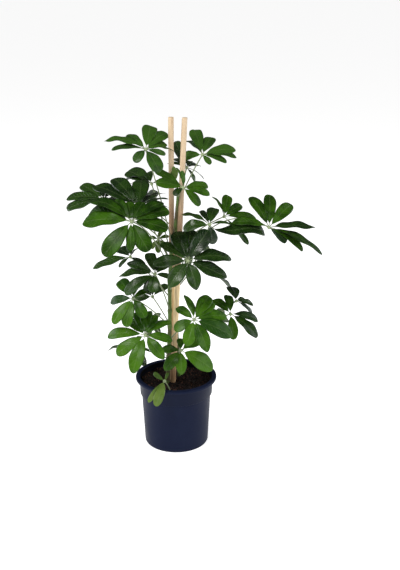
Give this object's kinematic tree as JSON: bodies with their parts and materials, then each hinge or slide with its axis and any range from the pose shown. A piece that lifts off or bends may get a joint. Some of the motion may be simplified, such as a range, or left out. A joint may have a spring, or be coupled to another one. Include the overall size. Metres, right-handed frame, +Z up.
{
  "type": "potted umbrella plant",
  "caption": "Leafy umbrella plant: whorls of oval leaflets on long stalks, round wooden stakes and stems standing in soil in a round dark plastic pot.",
  "frame": {"origin": "centre of the pot's flat base, at the floor", "axes": "+Z up along the pot's axis, -Y towards the plant's front, +X to the right as seen from the front"},
  "size_m": [0.5888, 0.3225, 0.7883],
  "materials": {
    "pot": "satin moulded plastic, dark blue-black",
    "soil": "moist crumbly potting soil",
    "stake": "bare pale wood",
    "stem": "green-brown living stem",
    "leaf_bright": "glossy waxy leaf, bright green",
    "leaf_green": "glossy waxy leaf, mid green",
    "leaf_dark": "glossy waxy leaf, dark green",
    "leaf_young": "soft young leaf, yellow-green"
  },
  "bodies": {
    "root": {"pot": "pot", "soil": "soil", "stake_left": "stake", "stake_right": "stake", "stem_front": "stem", "stem_back": "stem", "leaf_top_left": "leaf_green", "leaf_top_right": "leaf_green", "leaf_top_front": "leaf_green", "leaf_tip_young": "leaf_young", "leaf_top_back": "leaf_dark", "leaf_upper_left": "leaf_dark", "leaf_left_front": "leaf_green", "leaf_left_far": "leaf_dark", "leaf_left_middle": "leaf_dark", "leaf_right_middle": "leaf_dark", "leaf_right_back": "leaf_green", "leaf_right_far": "leaf_green", "leaf_centre_front": "leaf_dark", "leaf_centre_left": "leaf_dark", "leaf_centre_back": "leaf_young", "leaf_centre_left_back": "leaf_dark", "leaf_low_left_back": "leaf_dark", "leaf_low_left_far": "leaf_bright", "leaf_low_left_front": "leaf_bright", "leaf_low_right_front": "leaf_bright", "leaf_low_right_far": "leaf_green", "leaf_low_right_back": "leaf_dark", "leaf_low_centre": "leaf_bright", "leaf_low_back": "leaf_dark", "leaf_behind_upper": "leaf_dark", "leaf_behind_middle": "leaf_green", "leaf_behind_right": "leaf_green", "leaf_behind_left": "leaf_green", "shoot_front": "leaf_young"}
  },
  "joints": []
}
